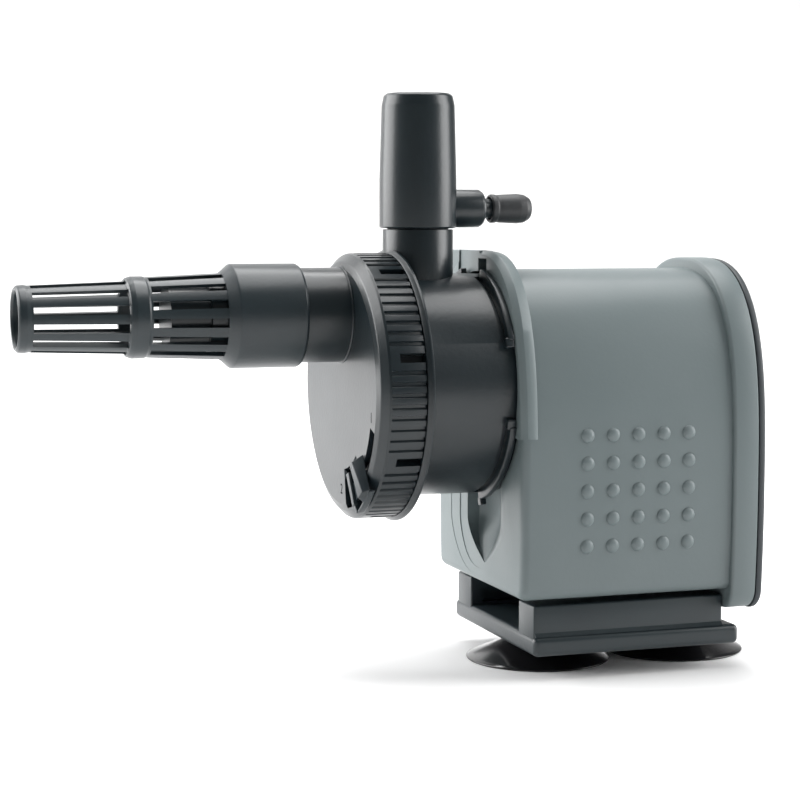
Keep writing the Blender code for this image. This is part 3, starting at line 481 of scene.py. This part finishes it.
def dot(side, x, z):
    """A low round dome on the flank."""
    radius, height, steps, rings = 2.05, 0.85, 24, 7
    base = flank_half(z)
    profile = [(radius + 0.25, -0.25), (radius, 0.02)]
    for i in range(1, rings):
        swing = math.radians(90.0 * i / rings)
        profile.append((radius * math.cos(swing), height * math.sin(swing)))
    verts = []
    for r, h in profile:
        for k in range(steps):
            angle = 2 * math.pi * k / steps
            verts.append((x + r * math.cos(angle), side * (base + h), z + r * math.sin(angle)))
    faces = ring_faces(len(profile), steps)
    verts.append((x, side * (base + height), z))
    top = len(verts) - 1
    start = (len(profile) - 1) * steps
    for k in range(steps):
        faces.append((start + k, start + (k + 1) % steps, top))
    faces.append(tuple(range(steps)))
    return mesh_from("dot", verts, faces)


def make_cover():
    spec = {"half": 36.8, "top": 36.8, "bottom": -66.8, "corner": 6.5}
    stations = round_over(74.3, 1, 0.3, 2) + [(75.0, 0.0)] + round_over(76.6, -1, 1.2, 5)[::-1]
    cover = loft("rear_plate", arch_rings(spec, stations))
    cut(cover, lathe("hole", [(0, 60), (5.3, 60), (5.3, 90), (0, 90)], (0, 0, -48.0), steps=48))
    return done(cover, COVER, "motor", ["rear_cover"])


def make_gland():
    profile = [(2.8, 67.0), (6.2, 67.0), (6.2, 74.0), (5.0, 74.0), (5.0, 76.6), (6.0, 76.9), (6.0, 78.2),
               (5.2, 78.5), (5.0, 79.6), (5.3, 79.8), (5.2, 80.6), (4.6, 80.8), (4.6, 81.4), (4.2, 82.4), (2.8, 82.4)]
    gland = lathe("cord_inlet", rounded(profile, 0.25, 2), (0, 0, -48.0), steps=64)
    return done(gland, RUBBER, "motor", ["cord_gland"])


# ---------------------------------------------------------------- pump head

LUGS = ((25.0, 77.0), (-17.0, -77.0))


def make_chamber():
    profile = [(12.5, -4.0), (30.1, -4.0), (30.1, -40.0), (34.9, -40.0), (34.9, -36.5), (33.2, -36.5),
               (33.2, -33.9), (34.9, -33.9), (34.9, -29.75), (38.85, -29.75), (39.8, -28.7), (39.8, -27.9), (32.6, -27.9),
               (32.6, 2.6), (24.6, 2.6), (24.6, 0.7), (21.8, 0.7), (21.8, 2.6), (12.5, 2.6)]
    radii = [0, 0, 0, 0.4, 0.2, 0.1, 0.1, 0.2, 0.3, 0.3, 0.4, 0.45, 0.7, 0.4, 0.2, 0.1, 0.1, 0.2, 0.2]
    chamber = lathe("pump_drum", rounded(profile, radii, 3), steps=160)
    neck_profile = [(0, 24), (10.35, 24), (10.35, 45.6), (9.0, 45.6), (9.0, 57.5), (0, 57.5)]
    neck = lathe("neck", rounded(neck_profile, [0, 0, 0.3, 0.2, 0.4, 0], 2, closed=False), (-19.5, 0, 0), "Z", 72)
    weld(chamber, neck)
    cut(chamber, lathe("inside", [(0, -50), (30.1, -50), (30.1, -4.0), (0, -4.0)], steps=160))
    cut(chamber, lathe("outlet", [(0, 20), (7.4, 20), (7.4, 70), (0, 70)], (-19.5, 0, 0), "Z", 48))
    for start, end in LUGS:
        for flip in (1, -1):
            groove = [(flip * y, z) for y, z in arc_band(31.5, 33.5, start, end)]
            cut(chamber, prism("groove", groove, -4.65, -3.0))
    for start, end in LUGS:
        for flip in (1, -1):
            band = [(flip * y, z) for y, z in arc_band(31.4, 34.9, start, end)]
            gather(chamber, bevel(prism("lug", band, -3.05, -1.15), 0.4, 3))
            inner = start + math.copysign(1.5, end - start)
            outer = start + math.copysign(3.5, start - end)
            stop = [(flip * y, z) for y, z in arc_band(32.2, 34.5, *sorted((inner, outer)), 6)]
            gather(chamber, bevel(prism("lug_end", stop, -3.9, -1.3), 0.7, 4))
    gather(chamber, bevel(prism("lug_tail", arc_band(34.2, 36.6, -78.0, -74.0, 4), -3.05, -1.2), 0.4, 3))
    return done(chamber, CHARCOAL, "chamber", ["pump_chamber"])


WINDOWS = 8
WINDOW_FIRST = 15.8
RIBS_PER_WINDOW = 7
PAD_HALF = 5.0
RIB_CREST = 2.45
RIB_UPPER_FLANK = 0.7
RIB_FLOOR = 1.22
RIB_LOWER_FLANK = 0.3
FACE_X = -43.4


def knurl_samples():
    """Angles around the cap with the share of rib height there; windows are marked by None."""
    samples = []
    for sector in range(WINDOWS):
        centre = WINDOW_FIRST + 360.0 / WINDOWS * sector
        for offset, level in ((-PAD_HALF, 1.0), (-1.95, 1.0), (-1.9, None), (1.9, None), (1.95, 1.0)):
            samples.append((centre + offset, level))
        spot = centre + PAD_HALF
        for rib in range(RIBS_PER_WINDOW + 1):
            samples += [(spot - 0.3, 1.0), (spot, 0.94), (spot + RIB_UPPER_FLANK * 0.5, 0.55)]
            spot += RIB_UPPER_FLANK
            samples.append((spot, 0.0))
            spot += RIB_FLOOR
            samples.append((spot, 0.0))
            spot += RIB_LOWER_FLANK
            if rib < RIBS_PER_WINDOW:
                samples.append((spot, 1.0))
                spot += RIB_CREST
    return samples


def make_cap():
    samples = knurl_samples()
    deep, bore = 0.6, 35.5
    rows = [(-40.5, 38.5, 0.0, False), (-40.25, 38.66, 0.0, False), (-40.1, 38.7, 0.0, False), (-40.0, 38.7, 1.0, False),
            (-37.35, 38.7, 1.0, False), (-37.3, 38.7, 1.0, True), (-30.2, 38.7, 1.0, True),
            (-30.0, 38.62, 1.0, True), (-29.9, 38.4, 1.0, True)]

    def ring(x, radii):
        swings = [math.radians(angle) for angle, _ in samples]
        return [(x, -r * math.cos(a), r * math.sin(a)) for a, r in zip(swings, radii)]

    rings = []
    for x, crest, share, open_here in rows:
        radii = []
        for _, level in samples:
            if level is None:
                radii.append(bore + 0.1 if open_here else crest)
            else:
                radii.append(crest - deep * share * (1 - level))
        rings.append(ring(x, radii))
    shoulder = rounded([(FACE_X, 30.0), (FACE_X, 34.3), (-42.7, 36.3), (-40.8, 38.4)], [0, 0.6, 1.6, 0], 6, closed=False)
    front = [ring(x, [r] * len(samples)) for x, r in shoulder[1:]]
    inner = [ring(x, [r] * len(samples)) for x, r in ((-29.88, bore + 0.4), (-30.1, bore), (-42.1, bore))]
    cap = loft("cap_shell", front + rings + inner)

    hub = lathe("hub", [(0, -43.0), (6.8, -43.0), (6.8, -36.0), (0, -36.0)], steps=48)
    pipe_profile = [(0, -42.6), (13.7, -42.6), (13.7, -75.8), (10.0, -75.8), (10.0, -83.5), (0, -83.5)]
    pipe = lathe("pipe", rounded(pipe_profile, [0, 0, 0.4, 0.2, 0.3, 0], 2, closed=False), (0, 0, 20.9), steps=96)
    bead = lathe("bead", [(13.2, -43.2), (14.15, -43.2), (14.15, -43.65), (13.95, -43.85), (13.2, -43.85)], (0, 0, 20.9))
    weld(cap, hub, pipe)
    bore_tool = lathe("bore", [(0, -30), (11.5, -30), (11.5, -73.8), (8.8, -73.8), (8.8, -95), (0, -95)], (0, 0, 20.9))
    cut(cap, bore_tool)
    cut(cap, lathe("pocket", [(0, -41.1), (5.3, -41.1), (5.3, -30), (0, -30)], steps=48))
    cut(cap, prism("slot_upper", arc_band(30.3, 34.4, -18.0, -55.0), -50.0, -41.0))
    cut(cap, prism("slot_lower", arc_band(24.2, 35.6, -50.0, -80.0), -50.0, -41.0))
    gather(cap, bead)
    done(cap, CHARCOAL, "cap", ["front_cap"], 26.0)
    mark_positions()
    return cap


def mark_positions():
    """The regulator's two positions, as plain numbers sunk in the face."""
    for word, angle, radius in (("1", -12.5, 30.5), ("2", -87.0, 30.1)):
        curve = bpy.data.curves.new("position_" + word, "FONT")
        curve.body = word
        curve.size = 4.2
        curve.extrude = 0.03
        curve.align_x = "CENTER"
        curve.align_y = "CENTER"
        guide = link("guide", curve)
        bpy.context.view_layer.update()
        graph = bpy.context.evaluated_depsgraph_get()
        mesh = bpy.data.meshes.new_from_object(guide.evaluated_get(graph))
        bpy.data.objects.remove(guide, do_unlink=True)
        swing = math.radians(angle)
        spot = (FACE_X, -radius * math.cos(swing), radius * math.sin(swing))
        # The numbers face -X, with their tops up and their reading direction towards -Y.
        turn = Matrix(((0, 0, -1), (-1, 0, 0), (0, 1, 0))).to_4x4()
        mesh.transform(Matrix.Translation(spot) @ turn)
        done(link("position_mark_" + word, mesh), MARK, "cap")


def wedge(name, front, back, soft):
    """A block between two outlines of (x, angle, radius) corners, one in front and one behind."""
    def ring(corners):
        swings = [(x, math.radians(angle), radius) for x, angle, radius in corners]
        return [(x, -radius * math.cos(swing), radius * math.sin(swing)) for x, swing, radius in swings]
    return bevel(loft(name, [ring(front), ring(back)]), soft, 3)


def make_regulator():
    """The shutter behind the face, and the hollow grip that stands in front of the slot."""
    hub = [(7.2, -41.7), (9.8, -41.7), (9.8, -40.6), (7.2, -40.6)]
    shutter = lathe("regulator_lever", hub, steps=64)
    blade = prism("blade", arc_band(8.2, 33.6, -72.0, 50.0, 40), -41.7, -40.6)
    stem = prism("stem", arc_band(30.7, 34.0, -57.0, -46.0, 6), -43.9, -40.8)
    weld(shutter, blade, stem)
    fin = wedge("fin", [(-46.6, -47.2, 28.2), (-46.6, -42.9, 29.0), (-45.6, -44.4, 39.3), (-46.0, -48.4, 39.3)],
                [(-43.52, -48.8, 27.4), (-43.52, -37.4, 28.6), (-43.52, -42.6, 39.5), (-43.52, -52.6, 39.5)], 0.3)
    bar = wedge("bar", [(-44.9, -66.6, 26.7), (-44.9, -61.6, 26.9), (-44.9, -60.2, 37.2), (-44.9, -63.2, 37.2)],
                [(-43.52, -66.6, 26.7), (-43.52, -61.6, 26.9), (-43.52, -60.2, 37.2), (-43.52, -63.2, 37.2)], 0.3)
    floor = bevel(prism("floor", arc_band(30.4, 35.8, -64.0, -45.0, 8), -43.95, -43.52), 0.1, 1)
    lip = bevel(prism("lip", arc_band(38.75, 39.6, -61.4, -43.6, 12), -44.0, -41.9), 0.35, 3)
    end = wedge("end", [(-44.8, -63.4, 35.6), (-44.8, -61.2, 35.6), (-44.2, -60.4, 39.5), (-44.2, -62.6, 39.5)],
                [(-42.4, -63.4, 35.6), (-42.4, -61.2, 35.6), (-41.9, -60.4, 39.5), (-41.9, -62.6, 39.5)], 0.3)
    gather(shutter, fin, bar, floor, lip, end)
    return done(shutter, SLATE, "regulator", ["flow_regulator"])


# ---------------------------------------------------------------- strainer

def slot_tools(count, first, width, front, back):
    tools = []
    for i in range(count):
        outline = rounded([(-20.0, -width / 2), (-4.0, -width / 2), (-4.0, width / 2), (-20.0, width / 2)], 0)
        tool = prism("slot", outline, front, back)
        tool.data.transform(Matrix.Rotation(-math.radians(first + 360.0 / count * i), 4, "X"))
        tool.data.transform(Matrix.Translation((0, 0, 20.9)))
        tools.append(tool)
    return tools


def make_strainer():
    profile = [(8.1, -137.2), (8.6, -137.4), (9.35, -136.7), (9.5, -134.9), (9.3, -133.8), (10.2, -107.0), (11.1, -106.4),
               (11.6, -105.0), (11.6, -101.6), (11.35, -101.0), (12.3, -79.4), (14.95, -76.4), (14.95, -57.3),
               (14.5, -56.6), (14.0, -56.6), (14.0, -76.1), (11.1, -76.1), (10.3, -100.8), (9.0, -101.8),
               (8.2, -134.0), (7.8, -135.0), (7.8, -136.6)]
    radii = [0.2, 0.3, 0.6, 0.5, 0.2, 0.4, 0.5, 0.8, 0.5, 0.2, 0.7, 1.1, 0.4, 0.3, 0.2, 0, 0.2, 0.2, 0.2, 0.2, 0.2, 0.2]
    strainer = lathe("strainer_shell", rounded(profile, radii, 3), (0, 0, 20.9), steps=120)
    cut(strainer, *slot_tools(12, 15.0, 2.6, -133.2, -106.7))
    cut(strainer, *slot_tools(14, 19.4, 2.6, -100.5, -79.3))
    return done(strainer, SLATE, "strainer", ["strainer_basket"], 30.0)


# ---------------------------------------------------------------- outlet

def make_coupler():
    profile = [(0, 45.9), (10.9, 45.9), (11.3, 46.3), (11.3, 60.0), (10.7, 81.5), (10.1, 84.3), (9.2, 85.0), (0, 85.0)]
    radii = [0, 0.2, 0.3, 4.0, 4.0, 0.9, 0.4, 0]
    coupler = lathe("outlet_pipe", rounded(profile, radii, 4, closed=False), (-19.5, 0, 0), "Z", 96)
    stub_profile = [(0, 5.0), (5.6, 5.0), (5.6, 18.7), (5.35, 18.75), (5.35, 19.0), (5.0, 19.6), (4.0, 19.9),
                    (3.1, 20.2), (2.9, 22.0), (3.1, 28.5), (0, 28.5)]
    stub = lathe("stub", rounded(stub_profile, 0.15, 2, closed=False), (-19.5, 0, 51.7), "X", 64)
    weld(coupler, stub)
    bore = [(0, 30), (9.3, 30), (9.3, 58.0), (7.4, 58.0), (7.4, 59.5), (8.9, 61.0), (8.9, 84.2), (9.3, 86.0), (0, 86.0)]
    cut(coupler, lathe("bore", bore, (-19.5, 0, 0), "Z", 96))
    cut(coupler, lathe("air", [(0, 0), (1.3, 0), (1.3, 60), (0, 60)], (-19.5, 0, 51.7), "X", 24))
    return done(coupler, CHARCOAL, "coupler", ["outlet_coupler"], 30.0)


def make_air_cap():
    profile = [(3.4, 2.8), (3.9, 2.8), (4.25, 3.2), (4.2, 4.4), (4.0, 4.9), (4.15, 6.0), (4.4, 11.5), (4.15, 13.6),
               (3.2, 15.3), (1.6, 16.0), (0, 16.1), (0, 9.3), (3.4, 9.3)]
    radii = [0.1, 0.3, 0.5, 0.4, 0.4, 1.0, 2.0, 1.2, 1.0, 0.6, 0, 0, 0]
    cap = lathe("air_bung", rounded(profile, radii, 3), (0, 0, 51.7), steps=64)
    return done(cap, RUBBER, "air_cap", ["air_valve_cap"], 40.0)


# ---------------------------------------------------------------- base

def make_base():
    plate = bevel(block("base_tray", (4.9, -33.0, -77.0), (70.5, 33.0, -71.2)), 1.65, 6)
    for side in (-1, 1):
        y0, y1 = sorted((side * 19.7, side * 31.3))
        rail = bevel(block("rail", (5.2, y0, -72.4), (65.6, y1, -62.3)), 0.5, 3)
        y0, y1 = sorted((side * 17.0, side * 22.7))
        cut(rail, block("groove", (9.0, y0, -70.3), (75.0, y1, -66.4)))
        weld(plate, rail)
    for x in (19.5, 64.6):
        cut(plate, lathe("hole", [(0, -90), (4.0, -90), (4.0, -60), (0, -60)], (x, 0, 0), "Z", 48))
    cut(plate, block("mouth", (64.6, -3.4, -80.0), (75.0, 3.4, -69.0)))
    for side in (-1, 1):
        foot = [(31.0, -69.9), (31.4, -70.3), (31.9, -70.9), (32.4, -71.3), (31.0, -71.4)]
        gather(plate, prism("fillet", [(side * y, z) for y, z in foot], 5.6, 65.4))
    return done(plate, SLATE, "base", ["base_plate"])


def make_cup(name, x):
    profile = [(0, -68.6), (4.4, -68.6), (5.5, -69.7), (5.6, -70.9), (3.6, -70.9), (3.6, -77.3), (7.6, -77.5),
               (15.0, -80.9), (20.6, -83.2), (21.8, -83.8), (21.6, -84.3), (14.0, -82.2), (6.0, -79.9), (0, -79.5)]
    radii = [0, 0.8, 0.8, 0.2, 0.3, 0.5, 0.8, 2.0, 1.0, 0.25, 0.2, 1.0, 1.0, 0]
    cup = lathe(name + "_disc", rounded(profile, radii, 3, closed=False), (x, 0, 0), "Z", 96)
    return done(cup, CUP, "base", [name], 50.0)


make_housing()
make_cover()
make_gland()
make_chamber()
make_cap()
make_regulator()
make_strainer()
make_coupler()
make_air_cap()
make_base()
make_cup("suction_cup_front", 19.5)
make_cup("suction_cup_rear", 64.6)


# ---------------------------------------------------------------- stage, light and camera

def stage_material():
    material = bpy.data.materials.new("pale_paper")
    material.use_nodes = True
    tree = material.node_tree
    shader = tree.nodes["Principled BSDF"]
    shader.inputs["Roughness"].default_value = 0.9
    noise = tree.nodes.new("ShaderNodeTexNoise")
    noise.inputs["Scale"].default_value = 3.0
    tone = tree.nodes.new("ShaderNodeValToRGB")
    tone.color_ramp.elements[0].color = (0.88, 0.88, 0.88, 1)
    tone.color_ramp.elements[1].color = (0.90, 0.90, 0.90, 1)
    tree.links.new(noise.outputs["Fac"], tone.inputs["Fac"])
    tree.links.new(tone.outputs["Color"], shader.inputs["Base Color"])
    return material


def make_sweep():
    """A pale floor that curves up into a backdrop far behind the pump."""
    profile = [(-3.0, 0.0), (2.2, 0.0)]
    for i in range(1, 13):
        swing = math.radians(90.0 * i / 12)
        profile.append((2.2 + 0.8 * math.sin(swing), 0.8 * (1 - math.cos(swing))))
    profile.append((3.0, 3.5))
    verts = [(x, y, z) for y, z in profile for x in (-4.0, 4.0)]
    faces = [(2 * i, 2 * i + 1, 2 * i + 3, 2 * i + 2) for i in range(len(profile) - 1)]
    sweep = mesh_from("backdrop", verts, faces)
    sweep.data.materials.append(stage_material())
    sweep.data.shade_smooth()


def softbox(name, place, target, size, power, size_y=None):
    light = bpy.data.lights.new(name, "AREA")
    light.shape = "RECTANGLE"
    light.size = size
    light.size_y = size_y or size
    light.energy = power
    lamp = link(name, light)
    lamp.location = place
    lamp.rotation_euler = (Vector(target) - Vector(place)).to_track_quat("-Z", "Y").to_euler()
    return lamp


def make_camera():
    camera = bpy.data.cameras.new("camera")
    camera.sensor_width = 36.0
    camera.lens = 91.64
    camera.clip_start = 0.01
    eye = link("camera", camera)
    azimuth = math.radians(-18.683)
    elevation = math.radians(5.161)
    back = Vector((math.sin(azimuth) * math.cos(elevation), -math.cos(azimuth) * math.cos(elevation),
                   math.sin(elevation)))
    aim = Vector((-24.891 + AXIS[0], 0.0, -4.529 + AXIS[2])) * MM
    eye.location = aim + back * 0.600
    turn = (-back).to_track_quat("-Z", "Y").to_matrix()
    roll = Matrix.Rotation(math.radians(0.109), 3, back)
    eye.rotation_euler = (roll @ turn).to_euler()
    bpy.context.scene.camera = eye


make_sweep()
world = bpy.data.worlds.new("studio")
world.use_nodes = True
world.node_tree.nodes["Background"].inputs["Color"].default_value = (1.0, 1.0, 1.0, 1.0)
world.node_tree.nodes["Background"].inputs["Strength"].default_value = 0.14
bpy.context.scene.world = world
bpy.context.scene.view_settings.view_transform = "Standard"
softbox("left_box", (-1.1, 0.7, 0.55), (0.0, 0.0, 0.08), 1.2, 31.0)
softbox("top_box", (0.1, 0.1, 1.3), (0.0, 0.0, 0.08), 1.0, 15.0)
softbox("right_box", (1.15, -0.38, 0.5), (0.0, 0.0, 0.08), 0.8, 19.0, 1.1)
softbox("back_box", (0.2, 1.3, 2.2), (0.5, 2.8, 0.3), 2.4, 80.0, 1.0)
make_camera()
